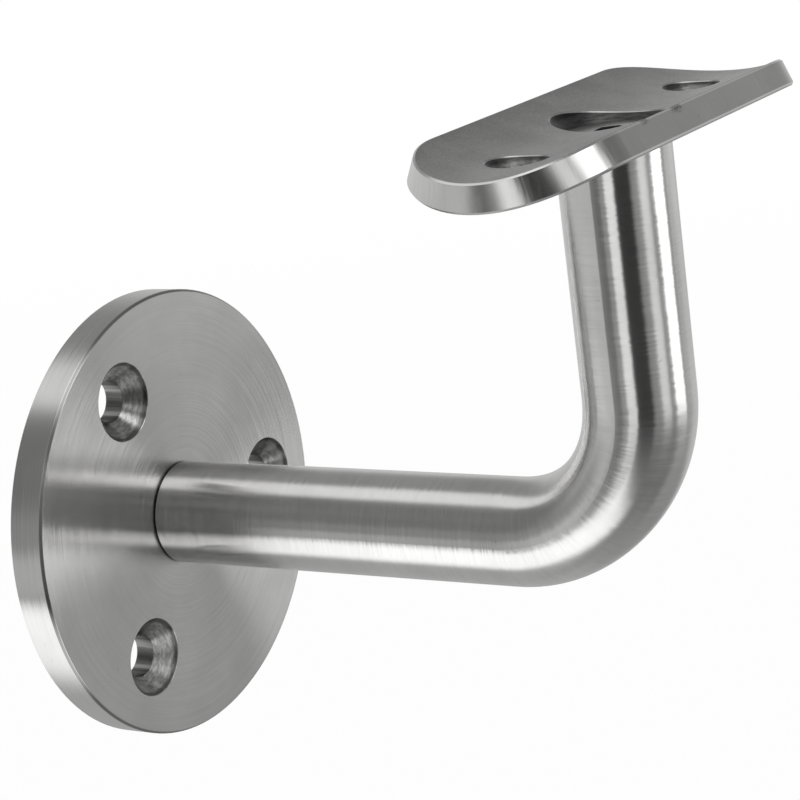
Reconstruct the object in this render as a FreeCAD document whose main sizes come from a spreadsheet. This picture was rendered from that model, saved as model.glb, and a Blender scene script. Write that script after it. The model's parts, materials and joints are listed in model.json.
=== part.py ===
import FreeCAD, Part

# Handrail bracket: a round wall plate, a bent bar arm and a curved saddle for a round rail.
#
# Frame, in millimetres: the wall is the plane Y = 0 and the bracket stands out from it along -Y,
# +Z is up and X runs along the rail.  The origin is the middle of the wall plate's back face.
#
# Every size is a cell of the sheet "sizes", and every feature is bound to those cells.  Threads are
# plain cylinders at their pitch diameter, in the screws and in the holes that take them.

import math
import os

import Sketcher
from FreeCAD import Placement, Rotation, Vector

FULL_TURN = 360.0
QUARTER_TURN = 90.0
HEXAGON_SIDES = 6
SURFACE_TOLERANCE = 0.0001
# the bend is drawn through one section more than it has spans
BEND_SPANS = 6

SIZES = [
    # wall plate
    ("plate_diameter", 70.0),
    ("plate_thickness", 6.0),
    ("plate_edge_break", 0.4),
    ("fixing_count", 3),
    ("fixing_circle", 47.0),
    ("fixing_first_angle", 116.5),
    ("fixing_bore", 6.6),
    ("fixing_sink", 12.2),
    # arm
    ("bar_diameter", 16.0),
    ("bend_radius", 21.5),
    ("bend_flattening", 0.7),
    ("reach", 88.0),
    ("seat_height", 59.5),
    ("bar_edge_break", 0.4),
    # saddle
    ("rail_diameter", 60.3),
    ("saddle_length", 79.0),
    ("saddle_width", 29.5),
    ("saddle_thickness", 4.0),
    ("saddle_edge_break", 0.3),
    ("rail_hole_spacing", 53.0),
    ("rail_hole_bore", 5.0),
    ("rail_hole_sink", 8.2),
    # screw from the saddle into the arm, M6 x 16
    ("saddle_screw_head", 12.0),
    ("saddle_screw_thread", 5.35),
    ("saddle_screw_length", 16.0),
    ("saddle_screw_bore", 6.6),
    ("saddle_screw_socket", 4.0),
    ("saddle_screw_recess", 1.0),
    # screw from the back of the wall plate into the arm, M8 x 20
    ("arm_screw_head", 16.0),
    ("arm_screw_thread", 7.19),
    ("arm_screw_length", 20.0),
    ("arm_screw_bore", 9.0),
    ("arm_screw_socket", 5.0),
    ("arm_screw_recess", 0.2),
    # what both screws share
    ("head_land", 0.3),
    ("socket_depth", 2.3),
    ("tip_break", 0.8),
    ("tapping_spare", 3.0),
]

# the bottom of the saddle's underside, where the arm ends
ARM_END = "(sizes.seat_height - sizes.saddle_thickness)"
RAIL_RADIUS = "(sizes.rail_diameter / 2)"
PLATE_RADIUS = "(sizes.plate_diameter / 2)"
# the saddle screw's head lies below the seat, and its cone starts below its rim
SADDLE_SCREW_TOP = "(sizes.seat_height - sizes.saddle_screw_recess)"
SADDLE_CONE_TOP = f"({SADDLE_SCREW_TOP} - sizes.head_land)"
# depth of a drill's 118 degree point for each millimetre of its radius
DRILL_SLOPE = 0.6


def make_sheet(doc):
    """The driving dimensions, one named cell each."""
    sheet = doc.addObject("Spreadsheet::Sheet", "sizes")
    for row, (alias, value) in enumerate(SIZES, start=1):
        sheet.set(f"A{row}", alias)
        sheet.set(f"B{row}", str(value))
        sheet.setAlias(f"B{row}", alias)
    doc.recompute()
    return sheet


def origin_feature(body, role):
    """One of a body's own origin planes or axes, such as XY_Plane or Z_Axis."""
    return next(item for item in body.Origin.OriginFeatures if item.Role == role)


def new_sketch(body, name, plane):
    """An empty sketch on one of the body's own origin planes."""
    sketch = body.newObject("Sketcher::SketchObject", name)
    sketch.AttachmentSupport = (origin_feature(body, plane), [""])
    sketch.MapMode = "FlatFace"
    return sketch


def pin_point(sketch, geometry, end, across, up):
    """Hold one end of a line at the place that two expressions give."""
    for kind, axis, expression in (("DistanceX", -2, across), ("DistanceY", -1, up)):
        if expression == "0":
            sketch.addConstraint(Sketcher.Constraint("PointOnObject", geometry, end, axis))
        else:
            place = sketch.evalExpression(expression)
            index = sketch.addConstraint(Sketcher.Constraint(kind, -1, 1, geometry, end, float(place)))
            sketch.setExpression(f"Constraints[{index}]", expression)


def outline(body, name, plane, corners):
    """A closed outline of straight lines through corners given as pairs of expressions."""
    sketch = new_sketch(body, name, plane)
    values = [[float(sketch.evalExpression(item)) for item in corner] for corner in corners]
    points = [Vector(across, up, 0) for across, up in values]
    for here, there in zip(points, points[1:] + points[:1]):
        sketch.addGeometry(Part.LineSegment(here, there), False)
    count = len(points)
    for line in range(count):
        sketch.addConstraint(Sketcher.Constraint("Coincident", line, 2, (line + 1) % count, 1))
        pin_point(sketch, line, 1, *corners[line])
    return sketch


def turned(body, kind, name, sketch, axis):
    """A full turn of a profile: a Revolution adds material and a Groove takes it away."""
    feature = body.newObject(f"PartDesign::{kind}", name)
    feature.Profile = sketch
    feature.ReferenceAxis = (sketch, [axis])
    feature.Angle = FULL_TURN
    return feature


def hole_axis(sketch, across):
    """A construction line parallel to the sketch's upright axis, for a hole to turn about."""
    place = float(sketch.evalExpression(across))
    line = sketch.addGeometry(Part.LineSegment(Vector(place, 0, 0), Vector(place, 1, 0)), True)
    sketch.addConstraint(Sketcher.Constraint("Vertical", line))
    sketch.addConstraint(Sketcher.Constraint("PointOnObject", line, 1, -1))
    sketch.addConstraint(Sketcher.Constraint("Distance", line, 1.0))
    index = sketch.addConstraint(Sketcher.Constraint("DistanceX", -1, 1, line, 1, place))
    sketch.setExpression(f"Constraints[{index}]", across)


def check_cut(doc, body, before, name):
    """Recompute, and stop if the last feature took nothing away."""
    doc.recompute()
    after = body.Shape.Volume
    if after >= before:
        raise RuntimeError(f"{name} cuts nothing")
    return after


def find_edge(shape, fits):
    """The name of the one edge that passes a test."""
    names = [f"Edge{number}" for number, edge in enumerate(shape.Edges, start=1) if fits(edge)]
    if len(names) != 1:
        raise RuntimeError(f"{len(names)} edges fit")
    return names[0]


def add_wall_plate(doc):
    """Turned disc: local +Z points away from the wall, local +Y is up."""
    body = doc.addObject("PartDesign::Body", "wall_plate")
    edge = "sizes.plate_edge_break"
    profile = outline(body, "plate_profile", "XZ_Plane", [
        ("0", "0"),
        (f"{PLATE_RADIUS} - {edge}", "0"),
        (PLATE_RADIUS, edge),
        (PLATE_RADIUS, f"sizes.plate_thickness - {edge}"),
        (f"{PLATE_RADIUS} - {edge}", "sizes.plate_thickness"),
        ("0", "sizes.plate_thickness"),
    ])
    turned(body, "Revolution", "disc", profile, "V_Axis")
    doc.recompute()
    volume = body.Shape.Volume

    # the arm screw's hole is sunk from the back, so its head lies below the wall face
    cone_top = "(sizes.arm_screw_recess + sizes.head_land)"
    cone_depth = f"({cone_top} + (sizes.arm_screw_head - sizes.arm_screw_bore) / 2)"
    centre_profile = outline(body, "centre_hole_profile", "XZ_Plane", [
        ("0", "0"),
        (f"sizes.arm_screw_head / 2 + {cone_top}", "0"),
        ("sizes.arm_screw_bore / 2", cone_depth),
        ("sizes.arm_screw_bore / 2", "sizes.plate_thickness"),
        ("0", "sizes.plate_thickness"),
    ])
    turned(body, "Groove", "centre_hole", centre_profile, "V_Axis")
    volume = check_cut(doc, body, volume, "centre_hole")

    # the wall screws' holes are sunk from the front and repeat round the fixing circle
    middle = "sizes.fixing_circle / 2"
    sink_depth = "(sizes.fixing_sink - sizes.fixing_bore) / 2"
    fixing_profile = outline(body, "fixing_profile", "XZ_Plane", [
        (middle, "0"),
        (f"{middle} + sizes.fixing_bore / 2", "0"),
        (f"{middle} + sizes.fixing_bore / 2", f"sizes.plate_thickness - {sink_depth}"),
        (f"{middle} + sizes.fixing_sink / 2", "sizes.plate_thickness"),
        (middle, "sizes.plate_thickness"),
    ])
    hole_axis(fixing_profile, middle)
    fixing_profile.AttachmentOffset = Placement(Vector(), Rotation(Vector(0, 1, 0), 1.0))
    fixing_profile.setExpression("AttachmentOffset.Rotation.Angle", "sizes.fixing_first_angle * 1 deg")
    fixing = turned(body, "Groove", "fixing_hole", fixing_profile, "Axis0")
    volume = check_cut(doc, body, volume, "fixing_hole")

    pattern = body.newObject("PartDesign::PolarPattern", "fixing_holes")
    pattern.Originals = [fixing]
    pattern.Axis = (origin_feature(body, "Z_Axis"), [""])
    pattern.Angle = FULL_TURN
    pattern.setExpression("Occurrences", "sizes.fixing_count")
    body.Tip = pattern
    check_cut(doc, body, volume, "fixing_holes")
    body.Placement = Placement(Vector(), Rotation(Vector(1, 0, 0), QUARTER_TURN))
    return body


def bar_section(body, name, turn):
    """The bar's section where it has turned through an angle, on a plane through the bend's axis.

    Bending presses the bar flatter towards the middle of the bend, and it spreads sideways by as
    much as keeps its area.
    """
    pressed = f"sizes.bend_flattening * sin(2 * {turn} deg) ^ 2"
    height = f"(sizes.bar_diameter - {pressed})"
    width = f"(sizes.bar_diameter ^ 2 / {height})"
    section = new_sketch(body, name, "XZ_Plane")
    section.AttachmentOffset = Placement(Vector(), Rotation(Vector(1, 0, 0), turn))
    section.setExpression("AttachmentOffset.Base.y", "sizes.bend_radius")
    section.setExpression("AttachmentOffset.Base.z", "sizes.bend_radius - sizes.reach")
    middle = Vector(0, -float(section.evalExpression("sizes.bend_radius")), 0)
    across, up = (float(section.evalExpression(item)) / 2 for item in (width, height))
    if turn in (0, QUARTER_TURN):
        section.addGeometry(Part.Circle(middle, Vector(0, 0, 1), across), False)
        lengths = [("Diameter", 0, "sizes.bar_diameter")]
    else:
        ellipse = Part.Ellipse(middle + Vector(across, 0, 0), middle + Vector(0, up, 0), middle)
        section.addGeometry(ellipse, False)
        # the ellipse is geometry 0, and its long and short axes become 1 and 2
        section.exposeInternalGeometry(0)
        section.addConstraint(Sketcher.Constraint("Horizontal", 1))
        lengths = [("Distance", 1, width), ("Distance", 2, height)]
    pin_point(section, 0, 3, "0", "-sizes.bend_radius")
    for kind, geometry, expression in lengths:
        value = float(section.evalExpression(expression))
        index = section.addConstraint(Sketcher.Constraint(kind, geometry, value))
        section.setExpression(f"Constraints[{index}]", expression)
    return section


def straight_run(body, name, section, length, backwards):
    """One straight length of the bar, from a section at an end of the bend."""
    run = body.newObject("PartDesign::Pad", name)
    run.Profile = section
    run.setExpression("Length", length)
    run.Reversed = backwards
    return run


def add_arm(doc):
    """Bent bar: local +Y points away from the wall and +Z is up."""
    body = doc.addObject("PartDesign::Body", "arm")
    turns = [QUARTER_TURN * step / BEND_SPANS for step in range(BEND_SPANS + 1)]
    sections = [bar_section(body, f"section_{step}", turn) for step, turn in enumerate(turns)]
    doc.recompute()
    level_length = "sizes.reach - sizes.bend_radius - sizes.plate_thickness"
    straight_run(body, "level_run", sections[0], level_length, False)
    doc.recompute()
    bend = body.newObject("PartDesign::AdditiveLoft", "bend")
    bend.Profile = sections[0]
    bend.Sections = sections[1:]
    doc.recompute()
    upright_length = f"{ARM_END} + sizes.bar_diameter / 2 - sizes.bend_radius"
    bar = straight_run(body, "upright_run", sections[-1], upright_length, True)
    doc.recompute()

    # the foot's edge is broken, which leaves a fine joint line round it on the plate
    wall_end = bar.Shape.BoundBox.YMin
    foot = find_edge(bar.Shape, lambda edge: abs(edge.BoundBox.YMax - wall_end) < SURFACE_TOLERANCE)
    foot_break = body.newObject("PartDesign::Chamfer", "foot_break")
    foot_break.Base = (bar, [foot])
    foot_break.setExpression("Size", "sizes.bar_edge_break")
    doc.recompute()
    volume = body.Shape.Volume

    # the top is milled to the saddle's underside
    cope = new_sketch(body, "cope_outline", "YZ_Plane")
    centre = ("sizes.reach", f"sizes.seat_height + {RAIL_RADIUS}")
    across, up = (float(cope.evalExpression(item)) for item in centre)
    underside = f"{RAIL_RADIUS} + sizes.saddle_thickness"
    radius = float(cope.evalExpression(underside))
    cope.addGeometry(Part.Circle(Vector(across, up, 0), Vector(0, 0, 1), radius), False)
    pin_point(cope, 0, 3, *centre)
    index = cope.addConstraint(Sketcher.Constraint("Radius", 0, radius))
    cope.setExpression(f"Constraints[{index}]", underside)
    milling = body.newObject("PartDesign::Pocket", "cope")
    milling.Profile = cope
    milling.SideType = "Symmetric"
    milling.Type = "ThroughAll"
    volume = check_cut(doc, body, volume, "cope")

    # tapped hole in the foot, for the screw through the wall plate
    foot_at = "sizes.plate_thickness"
    root = "sizes.arm_screw_thread / 2"
    floor = "(sizes.arm_screw_recess + sizes.arm_screw_length + sizes.tapping_spare)"
    foot_hole = outline(body, "foot_hole_profile", "YZ_Plane", [
        (foot_at, "0"),
        (foot_at, f"{root} + sizes.tip_break"),
        (f"{foot_at} + sizes.tip_break", root),
        (floor, root),
        (f"{floor} + {root} * {DRILL_SLOPE}", "0"),
    ])
    turned(body, "Groove", "foot_hole", foot_hole, "H_Axis")
    volume = check_cut(doc, body, volume, "foot_hole")

    # tapped hole in the top, opened to the cone of the saddle screw's head
    axis = "sizes.reach"
    root = "sizes.saddle_screw_thread / 2"
    cone_foot = f"({SADDLE_CONE_TOP} - (sizes.saddle_screw_head - sizes.saddle_screw_thread) / 2)"
    floor = f"({SADDLE_SCREW_TOP} - sizes.saddle_screw_length - sizes.tapping_spare)"
    top_hole = outline(body, "top_hole_profile", "YZ_Plane", [
        (axis, SADDLE_CONE_TOP),
        (f"{axis} + sizes.saddle_screw_head / 2", SADDLE_CONE_TOP),
        (f"{axis} + {root}", cone_foot),
        (f"{axis} + {root}", floor),
        (axis, f"{floor} - {root} * {DRILL_SLOPE}"),
    ])
    hole_axis(top_hole, axis)
    turned(body, "Groove", "top_hole", top_hole, "Axis0")
    check_cut(doc, body, volume, "top_hole")
    body.Placement = Placement(Vector(), Rotation(Vector(0, 0, 1), 2 * QUARTER_TURN))
    return body


def oval_rim(sizes, depth, inset):
    """The saddle's outline at one depth below the seat, drawn on the cylinder of that depth.

    The oval is laid out flat at mid-thickness, where pressing leaves lengths as they were, and its
    widths become angles about the rail's axis, so the plate's sides stand square to its surface.
    """
    radius = sizes.rail_diameter / 2
    neutral = radius + sizes.saddle_thickness / 2
    end_radius = sizes.saddle_width / 2 - inset
    half_straight = (sizes.saddle_length - sizes.saddle_width) / 2
    half_angle = end_radius / neutral
    lowest = 3 * math.pi / 2
    flat = FreeCAD.Base.Vector2d
    layer = Part.Cylinder()
    layer.Radius = radius + depth
    layer.Center = Vector(0, -sizes.reach, sizes.seat_height + radius)
    layer.Axis = Vector(1, 0, 0)

    def side(angle, start, end):
        return Part.Geom2d.Line2dSegment(flat(lowest + angle, start), flat(lowest + angle, end))

    def rounded_end(place, start):
        ellipse = Part.Geom2d.Ellipse2d(flat(lowest, place), end_radius, half_angle)
        ellipse.XAxis = flat(0, 1)
        return Part.Geom2d.ArcOfEllipse2d(ellipse, start, start + math.pi)

    curves = [
        side(-half_angle, -half_straight, half_straight),
        rounded_end(half_straight, -math.pi / 2),
        side(half_angle, half_straight, -half_straight),
        rounded_end(-half_straight, math.pi / 2),
    ]
    return layer, [curve.toShape(layer) for curve in curves]


def rim_face(layer, edges):
    """The part of a cylinder that lies inside its rim."""
    face = Part.Face(layer, Part.Wire(Part.__sortEdges__(edges)))
    face.validate()
    return face


def pressed_plate(sizes):
    """The saddle before its holes: two curved faces, square sides and broken edges between them."""
    thickness, edge_break = sizes.saddle_thickness, sizes.saddle_edge_break
    levels = [(0, edge_break), (edge_break, 0), (thickness - edge_break, 0), (thickness, edge_break)]
    rims = [oval_rim(sizes, depth, inset) for depth, inset in levels]
    faces = [rim_face(*rims[0]), rim_face(*rims[-1])]
    for (_, upper), (_, lower) in zip(rims, rims[1:]):
        faces += [Part.makeRuledSurface(here, below).Faces[0] for here, below in zip(upper, lower)]
    return Part.makeSolid(Part.makeShell(faces))


def bind(thing, **expressions):
    """Bind properties to expressions; an underscore in a name stands for a dot."""
    for name, expression in expressions.items():
        thing.setExpression(name.replace("_", "."), expression)
    return thing


def sunk_hole(doc, name, across, bore, sink, sink_at):
    """Tools for a 90 degree countersunk hole: a bore and a cone that is `sink` wide at `sink_at`."""
    shank = bind(
        doc.addObject("Part::Cylinder", f"{name}_bore"),
        Radius=f"{bore} / 2",
        Height="2 * sizes.saddle_thickness",
        Placement_Base_x=across,
        Placement_Base_y="-sizes.reach",
        Placement_Base_z=f"{ARM_END} - sizes.saddle_thickness / 2",
    )
    spare = "sizes.saddle_thickness"
    cone = bind(
        doc.addObject("Part::Cone", f"{name}_cone"),
        Radius1=f"{bore} / 2",
        Radius2=f"{sink} / 2 + {spare}",
        Height=f"({sink} - {bore}) / 2 + {spare}",
        Placement_Base_x=across,
        Placement_Base_y="-sizes.reach",
        Placement_Base_z=f"{sink_at} - ({sink} - {bore}) / 2",
    )
    return [shank, cone]


def add_saddle(doc, sizes):
    """Oval plate pressed to the rail's curve, with radial sides and three countersunk holes."""
    plate = doc.addObject("Part::Feature", "pressed_plate")
    plate.Shape = pressed_plate(sizes)

    arm_hole = ("sizes.saddle_screw_bore", "sizes.saddle_screw_head", SADDLE_CONE_TOP)
    rail_hole = ("sizes.rail_hole_bore", "sizes.rail_hole_sink", "sizes.seat_height")
    tools = sunk_hole(doc, "middle", "0", *arm_hole)
    for name, side in (("left", "-"), ("right", "")):
        tools += sunk_hole(doc, name, f"{side}sizes.rail_hole_spacing / 2", *rail_hole)
    holes = doc.addObject("Part::MultiFuse", "hole_tools")
    holes.Shapes = tools
    saddle = doc.addObject("Part::Cut", "saddle")
    saddle.Base = plate
    saddle.Tool = holes
    check_cut(doc, saddle, plate.Shape.Volume, "saddle holes")
    return saddle


def add_screw(doc, name):
    """Countersunk screw with a hexagon socket: local +Z is the way it is driven."""
    head, thread, length = (f"sizes.{name}_{part}" for part in ("head", "thread", "length"))
    body = doc.addObject("PartDesign::Body", name)
    profile = outline(body, f"{name}_profile", "XZ_Plane", [
        ("0", "0"),
        (f"{head} / 2", "0"),
        (f"{head} / 2", "sizes.head_land"),
        (f"{thread} / 2", f"sizes.head_land + ({head} - {thread}) / 2"),
        (f"{thread} / 2", f"{length} - sizes.tip_break"),
        (f"{thread} / 2 - sizes.tip_break", length),
        ("0", length),
    ])
    turned(body, "Revolution", f"{name}_blank", profile, "V_Axis")
    doc.recompute()
    volume = body.Shape.Volume

    corner = f"sizes.{name}_socket / 2 / cos(30 deg)"
    hexagon = new_sketch(body, f"{name}_hexagon", "XY_Plane")
    radius = float(hexagon.evalExpression(corner))
    turns = [2 * math.pi * side / HEXAGON_SIDES for side in range(HEXAGON_SIDES)]
    corners = [Vector(radius * math.cos(turn), radius * math.sin(turn), 0) for turn in turns]
    for here, there in zip(corners, corners[1:] + corners[:1]):
        hexagon.addGeometry(Part.LineSegment(here, there), False)
    circle = hexagon.addGeometry(Part.Circle(Vector(), Vector(0, 0, 1), radius), True)
    hexagon.addConstraint(Sketcher.Constraint("Coincident", circle, 3, -1, 1))
    index = hexagon.addConstraint(Sketcher.Constraint("Radius", circle, radius))
    hexagon.setExpression(f"Constraints[{index}]", corner)
    for side in range(HEXAGON_SIDES):
        follower = (side + 1) % HEXAGON_SIDES
        hexagon.addConstraint(Sketcher.Constraint("Coincident", side, 2, follower, 1))
        hexagon.addConstraint(Sketcher.Constraint("PointOnObject", side, 1, circle))
        if follower:
            hexagon.addConstraint(Sketcher.Constraint("Equal", side, follower))
    hexagon.addConstraint(Sketcher.Constraint("PointOnObject", 0, 1, -1))
    socket = body.newObject("PartDesign::Pocket", f"{name}_socket")
    socket.Profile = hexagon
    socket.Reversed = True
    socket.setExpression("Length", "sizes.socket_depth")
    check_cut(doc, body, volume, f"{name} socket")
    return body


def add_saddle_screw(doc):
    """Driven down through the saddle into the arm."""
    screw = add_screw(doc, "saddle_screw")
    screw.Placement = Placement(Vector(), Rotation(Vector(1, 0, 0), 2 * QUARTER_TURN))
    return bind(screw, Placement_Base_y="-sizes.reach", Placement_Base_z=SADDLE_SCREW_TOP)


def add_arm_screw(doc):
    """Driven from the wall side through the plate into the arm."""
    screw = add_screw(doc, "arm_screw")
    screw.Placement = Placement(Vector(), Rotation(Vector(1, 0, 0), QUARTER_TURN))
    return bind(screw, Placement_Base_y="-sizes.arm_screw_recess")


def check_document(doc, pieces):
    """Stop on any failed feature and on any piece that isn't one valid solid."""
    for item in doc.Objects:
        if "Invalid" in item.State or "Error" in item.State:
            raise RuntimeError(f"{item.Label} failed: {item.State}")
    for piece in pieces:
        shape = piece.Shape
        if shape.isNull() or not shape.isValid() or len(shape.Solids) != 1:
            raise RuntimeError(f"{piece.Label} isn't one valid solid")


def main():
    doc = FreeCAD.newDocument("handrail_bracket")
    sizes = make_sheet(doc)
    pieces = [
        add_wall_plate(doc),
        add_arm(doc),
        add_saddle(doc, sizes),
        add_saddle_screw(doc),
        add_arm_screw(doc),
    ]
    doc.recompute()
    check_document(doc, pieces)
    os.makedirs("parts", exist_ok=True)
    for piece in pieces:
        piece.Shape.exportStep(f"parts/{piece.Label}.step")


main()
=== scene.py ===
import json
import math
from typing import NamedTuple

import bpy
from mathutils import Matrix, Vector


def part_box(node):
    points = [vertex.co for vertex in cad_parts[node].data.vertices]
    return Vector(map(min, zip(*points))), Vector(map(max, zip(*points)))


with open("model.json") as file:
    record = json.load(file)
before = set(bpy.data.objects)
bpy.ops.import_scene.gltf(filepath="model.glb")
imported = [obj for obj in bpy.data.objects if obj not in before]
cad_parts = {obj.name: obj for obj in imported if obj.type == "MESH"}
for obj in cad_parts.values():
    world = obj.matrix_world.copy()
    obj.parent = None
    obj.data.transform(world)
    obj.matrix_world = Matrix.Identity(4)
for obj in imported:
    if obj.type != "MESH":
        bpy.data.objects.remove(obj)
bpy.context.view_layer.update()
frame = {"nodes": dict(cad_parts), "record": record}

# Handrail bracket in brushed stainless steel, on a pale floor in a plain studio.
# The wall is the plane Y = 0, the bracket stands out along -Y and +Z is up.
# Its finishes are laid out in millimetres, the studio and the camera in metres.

# ---------------------------------------------------------------- places on the bracket, in millimetres

MM_PER_METRE = 1000.0

plate_low, plate_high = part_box("wall_plate")
saddle_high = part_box("saddle")[1]
saddle_screw_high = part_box("saddle_screw")[1]
arm_screw_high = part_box("arm_screw")[1]
mounts = {mount["name"]: mount for mount in frame["record"]["mounts"]}
seat_middle = mounts["rail_seat"]["pos_m"]

PLATE_FACE = plate_low.y * MM_PER_METRE
PLATE_RADIUS = plate_high.x * MM_PER_METRE
PLATE_THICKNESS = (plate_high.y - plate_low.y) * MM_PER_METRE
# the broken edge round the plate's face lies within this of the corner that it takes off
PLATE_EDGE_REACH = 0.45
# the plate's screw holes; the last three are the radii of their circle, their bores and their sunk mouths
FIXING_COUNT = mounts["wall_screws"]["dims"]["count"]
FIXING_FIRST_ANGLE = math.radians(116.5)
FIXING_CIRCLE = mounts["wall_screws"]["dims"]["pcd_mm"] / 2
FIXING_BORE = mounts["wall_screws"]["dims"]["hole_r_mm"]
FIXING_SINK = 6.1

# where the arm's upright stretch stands, and the radius of its bend
ARM_AXIS_Y = seat_middle[1] * MM_PER_METRE
BEND_RADIUS = 21.5
# painted shade round the arm's foot, in the gap where it meets the plate: how far from the plate's face
# it starts, and where it is full
GAP_SHADE_START = 0.4
GAP_SHADE_FULL = 0.24

# the saddle's seat follows a round rail that runs along X
RAIL_RADIUS = 30.15
RAIL_AXIS_Z = seat_middle[2] * MM_PER_METRE + RAIL_RADIUS
SADDLE_THICKNESS = 4.0
# the seat's outer edge, which is the saddle's highest line
SEAT_EDGE_Z = saddle_high.z * MM_PER_METRE
SEAT_EDGE_Y = ARM_AXIS_Y - math.sqrt(RAIL_RADIUS**2 - (RAIL_AXIS_Z - SEAT_EDGE_Z)**2)
# the saddle's holes: how far apart the two for the rail are, and the radii of the sunk mouths
RAIL_HOLE_SPACING = mounts["rail_screws"]["dims"]["spacing_x_mm"]
RAIL_HOLE_SINK = 4.1
MIDDLE_HOLE_SINK = 8.2

# both screws' sockets lie within this distance of their axes, corners and all
SOCKET_REACH = 3.0

# ---------------------------------------------------------------- directions and white

ALONG_RAIL = (1.0, 0.0, 0.0)
TO_WALL = (0.0, 1.0, 0.0)
UPWARD = (0.0, 0.0, 1.0)
WHITE = (1.0, 1.0, 1.0, 1.0)

# ---------------------------------------------------------------- node graph helper


class Graph:
    """Short calls for building one node tree."""

    def __init__(self, tree):
        self.tree = tree
        tree.nodes.clear()

    def node(self, kind, inputs=None, **settings):
        """A node with these settings; inputs are named or numbered, and fed by values or sockets."""
        made = self.tree.nodes.new(kind)
        for name, value in settings.items():
            setattr(made, name, value)
        for name, value in (inputs or {}).items():
            self.feed(made.inputs[name], value)
        return made

    def feed(self, socket, value):
        if isinstance(value, bpy.types.NodeSocket):
            self.tree.links.new(value, socket)
        else:
            socket.default_value = value

    def geometry(self, name):
        return self.node("ShaderNodeNewGeometry").outputs[name]

    def is_camera_ray(self):
        return self.node("ShaderNodeLightPath").outputs["Is Camera Ray"]

    def math(self, operation, *values):
        return self.node("ShaderNodeMath", dict(enumerate(values)), operation=operation).outputs[0]

    def product(self, result, *factors):
        for factor in factors:
            result = self.math("MULTIPLY", result, factor)
        return result

    def minus(self, value, taken):
        return self.math("SUBTRACT", value, taken)

    def absolute(self, value):
        return self.math("ABSOLUTE", value)

    def below(self, value, limit):
        return self.math("LESS_THAN", value, limit)

    def vector(self, operation, *values):
        made = self.node("ShaderNodeVectorMath", dict(enumerate(values)), operation=operation)
        return made.outputs["Value" if operation == "LENGTH" else "Vector"]

    def scaled(self, vector, factor):
        inputs = {"Vector": vector, "Scale": factor}
        return self.node("ShaderNodeVectorMath", inputs, operation="SCALE").outputs[0]

    def square_to(self, first, second):
        """The direction that is square to both."""
        return self.vector("NORMALIZE", self.vector("CROSS_PRODUCT", first, second))

    def combine(self, x, y, z):
        return self.node("ShaderNodeCombineXYZ", {"X": x, "Y": y, "Z": z}).outputs[0]

    def separate(self, vector):
        return self.node("ShaderNodeSeparateXYZ", {"Vector": vector}).outputs

    def length(self, across, along):
        return self.vector("LENGTH", self.combine(across, along, 0.0))

    def ramp(self, value, low, high, to_low=0.0, to_high=1.0, smooth=True):
        kind = "SMOOTHSTEP" if smooth else "LINEAR"
        inputs = {"Value": value, "From Min": low, "From Max": high, "To Min": to_low, "To Max": to_high}
        return self.node("ShaderNodeMapRange", inputs, interpolation_type=kind).outputs[0]

    def within(self, distance, half, softness):
        """1 up to half and 0 past it, across an edge that is softness wide."""
        return self.ramp(distance, half - softness / 2, half + softness / 2, 1.0, 0.0)

    def mix(self, factor, first, second):
        inputs = {"Factor": factor, "A": first, "B": second}
        return self.node("ShaderNodeMix", inputs, data_type="FLOAT").outputs[0]

    def mix_shaders(self, factor, first, second):
        return self.node("ShaderNodeMixShader", {0: factor, 1: first, 2: second}).outputs[0]

    def emission(self, strength):
        return self.node("ShaderNodeEmission", {"Color": WHITE, "Strength": strength}).outputs[0]

    def noise(self, vector, scale, detail, roughness):
        inputs = {"Vector": vector, "Scale": scale, "Detail": detail, "Roughness": roughness}
        return self.node("ShaderNodeTexNoise", inputs).outputs["Fac"]

    def shades(self, noise, spread, darkest, lightest):
        """Noise that is taken up to spread from its middle, as a share from darkest to lightest."""
        return self.ramp(noise, 0.5 - spread, 0.5 + spread, darkest, lightest)


# ---------------------------------------------------------------- brushed steel

STEEL_TINT = (1.0, 0.998, 0.985)

# every noise: its cells in a unit of place, its detail and its roughness
SPECK_NOISE = (1.3, 2.0, 0.5)
CLOUD_NOISE = (0.07, 3.0, 0.55)
SCRATCH_NOISE = (1.0, 4.0, 0.65)
STREAK_NOISE = (1.0, 2.0, 0.5)
# scratches and streaks have this many cells in a millimetre across the grain, and twice along it
SCRATCH_CELLS = (5.0, 0.2, 0.2)
STREAK_CELLS = (0.9, 0.03, 0.03)

# how far each noise is taken from its middle, and the shares of the steel's level that it gives
CLOUD_TONES = (0.2, 0.94, 1.05)
SCRATCH_TONES = (0.25, 0.95, 1.04)
STREAK_TONES = (0.2, 0.985, 1.01)
# specks start to show at the first value of their noise and are full at the second
SPECK_RANGE = (0.7, 0.8)
SPECK_TONE = 0.84

# what the scratches do to the roughness, as shares of it
SCRATCH_ROUGHNESS = (0.3, 0.88, 1.12)
SCRATCH_DEPTH = 0.0015 / MM_PER_METRE
# each scratch leans to one side by up to this much, so reflected edges look combed
SCRATCH_LEAN = math.radians(1.5)
LEAN_RANGE = (0.2, 0.8)


class Surface(NamedTuple):
    """What sets one piece's steel apart from spot to spot."""

    # the direction that highlights stretch in
    tangent: object
    # a space in millimetres whose first axis runs across the grain
    flow: object
    # how bright the spot is, as a share of the steel's level
    tone: object
    # how much rougher the spot is than the rest
    rougher: object = 0.0


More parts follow.
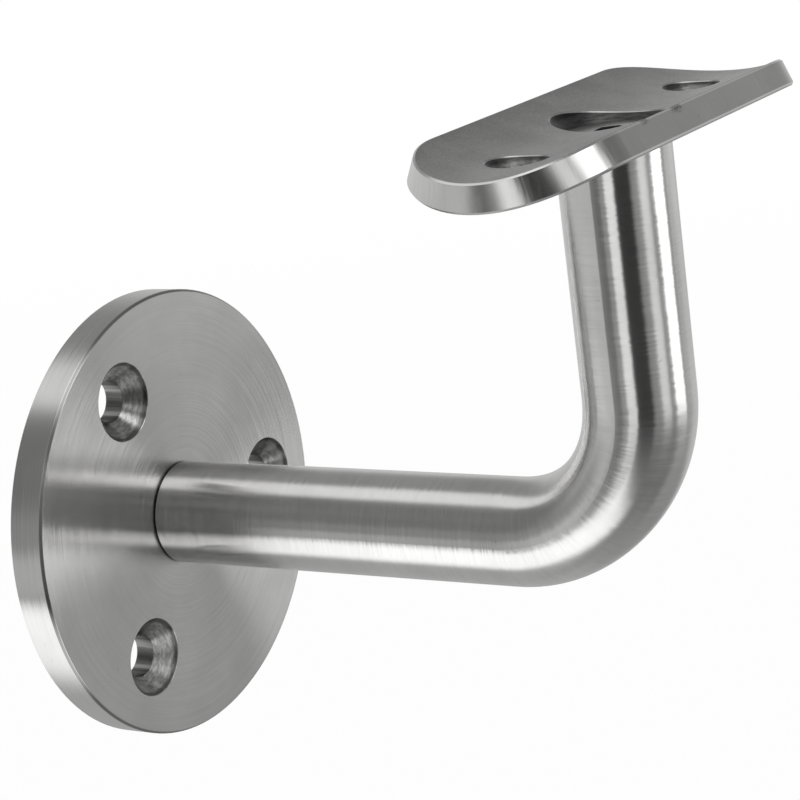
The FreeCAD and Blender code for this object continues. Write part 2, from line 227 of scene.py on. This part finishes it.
def brushed_shade(graph, place, surface, scratches, level):
    """How bright the steel is, with slow clouds, scratches, streaks and a few dark specks."""
    streaks = graph.noise(graph.vector("MULTIPLY", surface.flow, STREAK_CELLS), *STREAK_NOISE)
    specks = graph.noise(place, *SPECK_NOISE)
    clouds = graph.noise(place, *CLOUD_NOISE)
    return graph.product(
        surface.tone,
        level,
        graph.shades(clouds, *CLOUD_TONES),
        graph.shades(scratches, *SCRATCH_TONES),
        graph.shades(streaks, *STREAK_TONES),
        graph.ramp(specks, *SPECK_RANGE, 1.0, SPECK_TONE),
    )


def combed_normal(graph, tangent, scratches):
    """Scratches are fine grooves that also lean a little to one side or the other."""
    normal = graph.geometry("Normal")
    aside = graph.square_to(normal, tangent)
    lean = graph.ramp(scratches, *LEAN_RANGE, -SCRATCH_LEAN, SCRATCH_LEAN, smooth=False)
    leaning = graph.vector("NORMALIZE", graph.vector("ADD", normal, graph.scaled(aside, lean)))
    heights = {"Height": scratches, "Strength": 1.0, "Distance": SCRATCH_DEPTH, "Normal": leaning}
    return graph.node("ShaderNodeBump", heights).outputs[0]


def steel(name, level, roughness, anisotropy, surface_of):
    """Brushed steel, whose Surface surface_of works out from the place in millimetres."""
    material = bpy.data.materials.new(name)
    material.use_nodes = True
    graph = Graph(material.node_tree)
    place = graph.scaled(graph.geometry("Position"), MM_PER_METRE)
    surface = surface_of(graph, place)
    scratches = graph.noise(graph.vector("MULTIPLY", surface.flow, SCRATCH_CELLS), *SCRATCH_NOISE)
    shade = brushed_shade(graph, place, surface, scratches, level)
    rough = graph.product(graph.shades(scratches, *SCRATCH_ROUGHNESS), roughness)
    shader = graph.node("ShaderNodeBsdfPrincipled", {
        "Base Color": graph.scaled(STEEL_TINT, shade),
        "Metallic": 1.0,
        "Roughness": graph.math("ADD", rough, surface.rougher),
        "Anisotropic": anisotropy,
        "Tangent": surface.tangent,
        "Normal": combed_normal(graph, surface.tangent, scratches),
    })
    graph.node("ShaderNodeOutputMaterial", {"Surface": shader.outputs[0]})
    return material


CHATTER_NOISE = (3.0, 3.0, 0.7)
CHATTER_TONES = (0.15, 0.65, 1.25)
# painted shade on a sunk hole's cone
PAINTED_CONE_SHADE = 0.72
# painted shade in a ring under a sunk hole's rim: how far inside the rim it starts, and where it is full
SHADE_RING_START = 0.8
SHADE_RING_FULL = 0.3
PAINTED_RING_SHADE = 0.25


def drilled(graph, across, along, sink):
    """Tone inside a sunk hole: chatter marks, with painted shade on the cone and darker painted shade in
    a ring under its rim.
    """
    from_hole = graph.length(across, along)
    turn = graph.math("ARCTAN2", across, along)
    chatter = graph.noise(graph.combine(turn, from_hole, 0.0), *CHATTER_NOISE)
    # painted shade: darker in the ring under the rim than on the rest of the cone
    ring = graph.ramp(from_hole, sink - SHADE_RING_START, sink - SHADE_RING_FULL, PAINTED_CONE_SHADE, PAINTED_RING_SHADE)
    return graph.product(ring, graph.shades(chatter, *CHATTER_TONES))


# ---------------------------------------------------------------- arm

# painted shade in the gap where the arm meets the plate
GAP_PAINTED_SHADE = 0.06


def bar_run(graph, from_bend, corner):
    """Distance along the bar from the bend's end on the wall side, negative towards the wall."""
    _, y, z = graph.separate(from_bend)
    _, inward, down = graph.separate(corner)
    turn = graph.math("ARCTAN2", graph.product(inward, -1.0), graph.product(down, -1.0))
    run = graph.math("ADD", graph.product(turn, BEND_RADIUS), graph.math("MAXIMUM", z, 0.0))
    return graph.minus(run, graph.math("MAXIMUM", y, 0.0))


def arm_surface(graph, place):
    """The bar is ground round its girth, and painted shade darkens it in the gap where it meets the
    plate.
    """
    x, y, _ = graph.separate(place)
    from_bend = graph.vector("SUBTRACT", place, (0.0, ARM_AXIS_Y + BEND_RADIUS, BEND_RADIUS))
    # out from the bend's centre, and square to the bar along its straight stretches
    corner = graph.vector("MINIMUM", from_bend, (0.0, 0.0, 0.0))
    corner = graph.vector("MULTIPLY", corner, (0.0, 1.0, 1.0))
    run = bar_run(graph, from_bend, corner)
    return Surface(
        tangent=graph.square_to(ALONG_RAIL, corner),
        flow=graph.combine(run, x, graph.vector("LENGTH", corner)),
        # painted shade in the gap at the plate's face
        tone=graph.ramp(
            y, PLATE_FACE - GAP_SHADE_START, PLATE_FACE - GAP_SHADE_FULL, 1.0, GAP_PAINTED_SHADE
        ),
    )


# ---------------------------------------------------------------- wall plate

# X and Z count for this share in the plate's grain, so that its scratches run far round the rings
RING_SHARE = 0.25
# painted shade in the bores, on top of the cone's
FIXING_BORE_PAINTED_SHADE = 0.6
# a bore's own wall counts as inside it with this to spare
BORE_SPARE = 0.05
FIXING_ROUGHER = 0.1
PLATE_EDGE_TONE = 0.5
# depths below the face over which a hole's roughness and painted shade begin, and how far from the back
# face they end
FIXING_START = (0.02, 0.12)
BACK_SPARE = 0.02
# distances from the face and the rim over which the broken edge's finish begins
PLATE_EDGE_START = (0.02, 0.08)


def nearest_fixing(graph, x, z, radius):
    """Place in the nearest screw hole: out from the plate's axis, and round it."""
    pitch = 2 * math.pi / FIXING_COUNT
    angle = graph.minus(graph.math("ARCTAN2", z, x), FIXING_FIRST_ANGLE)
    angle = graph.math("WRAP", angle, pitch / 2, -pitch / 2)
    out = graph.minus(graph.product(radius, graph.math("COSINE", angle)), FIXING_CIRCLE)
    return out, graph.product(radius, graph.math("SINE", angle))


def fixing_hole(graph, out, beside, depth):
    """1 inside a screw hole and 0 outside it, and the hole's tone: chatter marks and painted shade,
    darker still in the bore.
    """
    from_hole = graph.length(out, beside)
    inside = graph.product(
        graph.below(from_hole, FIXING_SINK),
        graph.ramp(depth, *FIXING_START),
        graph.below(depth, PLATE_THICKNESS - BACK_SPARE),
    )
    cone = drilled(graph, out, beside, FIXING_SINK)
    in_bore = graph.below(from_hole, FIXING_BORE + BORE_SPARE)
    return inside, graph.mix(in_bore, cone, graph.product(cone, FIXING_BORE_PAINTED_SHADE))


def plate_edge_tone(graph, radius, depth):
    """The broken edge round the plate's face is darker."""
    from_rim = graph.minus(PLATE_RADIUS, radius)
    edge = graph.product(
        graph.ramp(graph.math("MINIMUM", from_rim, depth), *PLATE_EDGE_START),
        graph.below(graph.math("MAXIMUM", from_rim, depth), PLATE_EDGE_REACH),
    )
    return graph.mix(edge, 1.0, PLATE_EDGE_TONE)


def plate_surface(graph, place):
    """The plate is turned, so its grain runs round its axis; its screw holes are rough drilled cones with
    painted shade in them.
    """
    x, y, z = graph.separate(place)
    radius = graph.length(x, z)
    depth = graph.minus(y, PLATE_FACE)
    inside, hole_chatter_and_shade = fixing_hole(graph, *nearest_fixing(graph, x, z, radius), depth)
    ring = graph.vector("CROSS_PRODUCT", TO_WALL, place)
    out = graph.math("ADD", radius, depth)
    return Surface(
        tangent=graph.square_to(graph.geometry("Normal"), ring),
        flow=graph.combine(out, graph.product(x, RING_SHARE), graph.product(z, RING_SHARE)),
        tone=graph.product(graph.mix(inside, 1.0, hole_chatter_and_shade), plate_edge_tone(graph, radius, depth)),
        rougher=graph.product(inside, FIXING_ROUGHER),
    )


# ---------------------------------------------------------------- saddle

GRIT_NOISE = (3.2, 3.0, 0.7)
GRIT_TONES = (0.2, 0.42, 0.6)
PATCH_NOISE = (0.16, 3.0, 0.6)
PATCH_TONES = (0.2, 0.88, 1.08)
SHEET_ROUGHER = 0.12
# depths under a broad face at which its dull finish is gone, and still full
SHEET_GONE = 0.1
SHEET_FULL = 0.02
# depths below the seat over which a hole's dull finish and painted shade begin
SADDLE_HOLE_START = (0.05, 0.2)
# how far from its axis a hole's dull finish and painted shade can lie, as a share of its mouth's radius
SADDLE_HOLE_REACH = 1.3
# painted shade inside the saddle's middle hole and its rail holes
MIDDLE_HOLE_PAINTED_SHADE = 0.15
RAIL_HOLE_PAINTED_SHADE = 0.45
# dark nicks on the seat's outer edge: place along X, and size
NICKS = ((-7.5, 1.2), (-17.0, 0.8))
NICK_TONE = 0.4
# a nick is longer along the edge, its outline is ragged, and it fades out between these shares
NICK_ALONG = 0.6
NICK_RAGGED = (0.2, -0.35, 0.35)
NICK_FADE = (0.5, 1.0)


def sheet_tone(graph, place, grit):
    """Dull rolled sheet: fine grit on slow patches."""
    patches = graph.noise(place, *PATCH_NOISE)
    return graph.product(graph.shades(grit, *GRIT_TONES), graph.shades(patches, *PATCH_TONES))


def nick_tone(graph, place, grit, middle, size):
    """Dark in the nick, and 1 away from it."""
    offset = graph.vector("SUBTRACT", place, (middle, SEAT_EDGE_Y, SEAT_EDGE_Z))
    offset = graph.vector("MULTIPLY", offset, (NICK_ALONG / size, 1 / size, 1 / size))
    reach = graph.math("ADD", graph.vector("LENGTH", offset), graph.shades(grit, *NICK_RAGGED))
    return graph.ramp(reach, *NICK_FADE, NICK_TONE, 1.0)


def saddle_surface(graph, place):
    """The saddle's broad faces are dull rolled sheet, its holes are dull with painted shade in them, and
    its edge is ground bright.
    """
    x, y, z = graph.separate(place)
    along = graph.minus(y, ARM_AXIS_Y)
    depth = graph.minus(graph.length(along, graph.minus(z, RAIL_AXIS_Z)), RAIL_RADIUS)
    half = SADDLE_THICKNESS / 2
    from_middle = graph.absolute(graph.minus(depth, half))
    broad = graph.ramp(from_middle, half - SHEET_GONE, half - SHEET_FULL)
    grit = graph.noise(place, *GRIT_NOISE)
    tone = graph.mix(broad, 1.0, sheet_tone(graph, place, grit))
    dull = broad
    in_sheet = graph.product(graph.ramp(depth, *SADDLE_HOLE_START), graph.minus(1.0, broad))
    from_end = graph.minus(graph.absolute(x), RAIL_HOLE_SPACING / 2)
    for across, sink, shade in (
        (x, MIDDLE_HOLE_SINK, MIDDLE_HOLE_PAINTED_SHADE),
        (from_end, RAIL_HOLE_SINK, RAIL_HOLE_PAINTED_SHADE),
    ):
        near = graph.below(graph.length(across, along), sink * SADDLE_HOLE_REACH)
        inside = graph.product(near, in_sheet)
        # inside a hole: chatter marks with painted shade
        tone = graph.mix(inside, tone, graph.product(drilled(graph, across, along, sink), shade))
        dull = graph.math("MAXIMUM", dull, inside)
    for middle, size in NICKS:
        tone = graph.product(tone, nick_tone(graph, place, grit, middle, size))
    return Surface(UPWARD, place, tone, graph.product(dull, SHEET_ROUGHER))


# ---------------------------------------------------------------- screws

HEAD_TONE = 1.1
# painted shade in the socket
SOCKET_PAINTED_SHADE = 0.4
# depths below the head's top over which the socket's painted shade begins
SOCKET_START = (0.05, 0.4)


def screw_tone(graph, from_axis, depth):
    """Turned and plain, with painted shade in the socket."""
    socket = graph.product(graph.below(from_axis, SOCKET_REACH), graph.ramp(depth, *SOCKET_START))
    return graph.mix(socket, HEAD_TONE, SOCKET_PAINTED_SHADE)


def saddle_screw_surface(graph, place):
    """This screw stands upright in the arm, with its head at the top."""
    x, y, z = graph.separate(place)
    from_axis = graph.length(x, graph.minus(y, ARM_AXIS_Y))
    depth = graph.minus(saddle_screw_high.z * MM_PER_METRE, z)
    return Surface(UPWARD, place, screw_tone(graph, from_axis, depth))


def arm_screw_surface(graph, place):
    """This screw lies on the plate's axis, with its head towards the wall."""
    x, y, z = graph.separate(place)
    depth = graph.minus(arm_screw_high.y * MM_PER_METRE, y)
    return Surface(UPWARD, place, screw_tone(graph, graph.length(x, z), depth))


# ---------------------------------------------------------------- finishes on the pieces

# node, level, roughness, anisotropy, and what works out its Surface
FINISHES = (
    ("wall_plate", 0.59, 0.212, 0.98, plate_surface),
    ("arm", 0.65, 0.192, 0.93, arm_surface),
    ("saddle", 0.65, 0.22, 0.0, saddle_surface),
    ("saddle_screw", 0.62, 0.25, 0.0, saddle_screw_surface),
    ("arm_screw", 0.62, 0.25, 0.0, arm_screw_surface),
)

for node, level, roughness, anisotropy, surface_of in FINISHES:
    material = steel(f"{node}_steel", level, roughness, anisotropy, surface_of)
    for slot in frame["nodes"][node].material_slots:
        slot.material = material

# ---------------------------------------------------------------- studio


class Panel(NamedTuple):
    """A soft patch of the room, in degrees; azimuth is taken from -Y towards +X."""

    azimuth: float
    elevation: float
    half_width: float
    half_height: float
    softness: float
    level: float
    # how far its middle moves in azimuth for each degree of elevation
    slant: float = 0.0


ROOM_LEVEL = 0.34
# where two overlap, the later one covers the earlier
PANELS = {
    "backdrop": Panel(150, -5, 55, 25, 25, 0.689),
    "left_back": Panel(-147, -14, 26, 9, 8, 0.689),
    "high_left": Panel(-140, 30, 25, 20, 10, 0.227),
    "low_back": Panel(180, -55, 75, 26, 20, 0.502),
    "low_front": Panel(-20, -42, 45, 22, 8, 0.211),
    "fill_right": Panel(60, -15, 25, 14, 8, 0.446),
    "far_right": Panel(92, -15, 28, 16, 16, 0.608),
    "side_right": Panel(66, -4, 20, 7, 6, 0.851),
    "dark_right": Panel(48, 28, 16, 12, 8, 0.162),
    "dark_left": Panel(-106, 0, 7, 30, 5, 0.162),
    "camera": Panel(-54, 8, 17, 38, 10, 0.0405),
    "strip_left": Panel(-80, 0, 9, 20, 6, 1.22),
    "near_right": Panel(-16, 2, 9, 24, 8, 1.05, slant=-0.43),
    "window": Panel(20, 10, 13, 28, 6, 2.43, slant=-0.43),
}
# a long soft box overhead, parallel to Y and over all the panels: its tilt from straight up towards +X,
# half width and softness, in degrees
OVERHEAD_TILT = -5
OVERHEAD_HALF_WIDTH = 15
OVERHEAD_SOFTNESS = 12
# its levels towards the wall and away from it, and how far either side of 0 a direction's Y passes
# from one to the other
OVERHEAD_WALL_LEVEL = 1.0
OVERHEAD_ROOM_LEVEL = 1.78
OVERHEAD_FADE = 0.4


def over_panel(graph, azimuth, elevation, panel):
    """1 on the panel and 0 off it."""
    across = graph.minus(azimuth, math.radians(panel.azimuth))
    across = graph.minus(across, graph.product(elevation, panel.slant))
    across = graph.math("WRAP", across, math.pi, -math.pi)
    up = graph.minus(elevation, math.radians(panel.elevation))
    softness = math.radians(panel.softness)
    return graph.product(
        graph.within(graph.absolute(across), math.radians(panel.half_width), softness),
        graph.within(graph.absolute(up), math.radians(panel.half_height), softness),
    )


def studio_level(graph, direction):
    """How bright the room is in a direction."""
    x, y, z = graph.separate(direction)
    azimuth = graph.math("ARCTAN2", x, graph.product(y, -1.0))
    elevation = graph.math("ARCSINE", z)
    level = ROOM_LEVEL
    for panel in PANELS.values():
        level = graph.mix(over_panel(graph, azimuth, elevation, panel), level, panel.level)
    tilt = graph.minus(graph.math("ARCTAN2", x, z), math.radians(OVERHEAD_TILT))
    half_width = math.radians(OVERHEAD_HALF_WIDTH)
    overhead = graph.within(graph.absolute(tilt), half_width, math.radians(OVERHEAD_SOFTNESS))
    glow = graph.ramp(y, -OVERHEAD_FADE, OVERHEAD_FADE, OVERHEAD_ROOM_LEVEL, OVERHEAD_WALL_LEVEL)
    return graph.mix(overhead, level, glow)


def studio_world():
    """White for the camera, and a plain room with soft panels for everything else."""
    world = bpy.data.worlds.new("studio")
    world.use_nodes = True
    bpy.context.scene.world = world
    graph = Graph(world.node_tree)
    direction = graph.node("ShaderNodeTexCoord").outputs["Generated"]
    level = graph.mix(graph.is_camera_ray(), studio_level(graph, direction), 1.0)
    background = graph.node("ShaderNodeBackground", {"Color": WHITE, "Strength": level})
    graph.node("ShaderNodeOutputWorld", {"Surface": background.outputs[0]})


FLOOR_HEIGHT = -0.11
FLOOR_RADIUS = 1.2
FLOOR_SIDES = 64
FLOOR_COLOUR = (0.8, 0.8, 0.8, 1.0)
# for the camera the floor glows white, but for a small share that takes shadows and that fades out
# between these distances from the origin
SHADOW_SHARE = 0.03
SHADOW_FADE = (0.3, 1.0)
# a pool of light on the floor, left of the bracket, which the camera sees only in the metal
POOL_MIDDLE = (-0.128, 0.035)
POOL_HALF = (0.076, 0.168)
POOL_SOFTNESS = 0.035
POOL_LEVEL = 1.55


def pool_share(graph, position):
    """1 in the pool of light and 0 outside it."""
    x, y, _ = graph.separate(position)
    share = 1.0
    for offset, middle, half in zip((x, y), POOL_MIDDLE, POOL_HALF):
        distance = graph.absolute(graph.minus(offset, middle))
        share = graph.product(share, graph.within(distance, half, POOL_SOFTNESS))
    return share


def floor_material():
    """White with faint shadows for the camera; metal sees the pool on it, and the studio through it."""
    material = bpy.data.materials.new("floor_white")
    material.use_nodes = True
    graph = Graph(material.node_tree)
    position = graph.geometry("Position")
    glow_share = graph.ramp(graph.vector("LENGTH", position), *SHADOW_FADE, 1.0 - SHADOW_SHARE, 1.0)
    diffuse = graph.node("ShaderNodeBsdfDiffuse", {"Color": FLOOR_COLOUR}).outputs[0]
    shown = graph.mix_shaders(glow_share, diffuse, graph.emission(1.0))
    clear = graph.node("ShaderNodeBsdfTransparent").outputs[0]
    mirrored = graph.mix_shaders(pool_share(graph, position), clear, graph.emission(POOL_LEVEL))
    surface = graph.mix_shaders(graph.is_camera_ray(), mirrored, shown)
    graph.node("ShaderNodeOutputMaterial", {"Surface": surface})
    return material


def pale_floor():
    """A wide pale disc under the bracket."""
    mesh = bpy.data.meshes.new("floor")
    corners = [
        (FLOOR_RADIUS * math.cos(turn), FLOOR_RADIUS * math.sin(turn), FLOOR_HEIGHT)
        for turn in (2 * math.pi * side / FLOOR_SIDES for side in range(FLOOR_SIDES))
    ]
    mesh.from_pydata(corners, [], [list(range(FLOOR_SIDES))])
    mesh.materials.append(floor_material())
    floor = bpy.data.objects.new("floor", mesh)
    bpy.context.scene.collection.objects.link(floor)


studio_world()
pale_floor()

# ---------------------------------------------------------------- camera

# where the camera is from its target: azimuth is taken from -Y towards +X
VIEW_AZIMUTH = math.radians(-57.26)
VIEW_ELEVATION = math.radians(14.74)
VIEW_ROLL = math.radians(-7.59)
VIEW_TARGET = Vector((-0.0495, -0.0807, 0.0349))
VIEW_DISTANCE = 0.300
VIEW_LENS = 110.71
VIEW_CLIP_START = 0.01


def place_camera():
    """Look at the target from the photograph's angle."""
    back = Vector((
        math.sin(VIEW_AZIMUTH) * math.cos(VIEW_ELEVATION),
        -math.cos(VIEW_AZIMUTH) * math.cos(VIEW_ELEVATION),
        math.sin(VIEW_ELEVATION),
    ))
    right = (-back).cross(Vector(UPWARD)).normalized()
    up = back.cross(right)
    axes = Matrix((right, up, back)).transposed()
    turn = Matrix.Rotation(VIEW_ROLL, 3, "Z")
    data = bpy.data.cameras.new("camera")
    data.lens = VIEW_LENS
    data.clip_start = VIEW_CLIP_START
    camera = bpy.data.objects.new("camera", data)
    camera.matrix_world = Matrix.Translation(VIEW_TARGET + back * VIEW_DISTANCE) @ (axes @ turn).to_4x4()
    bpy.context.scene.collection.objects.link(camera)
    bpy.context.scene.camera = camera


place_camera()
bpy.context.scene.view_settings.view_transform = "Standard"
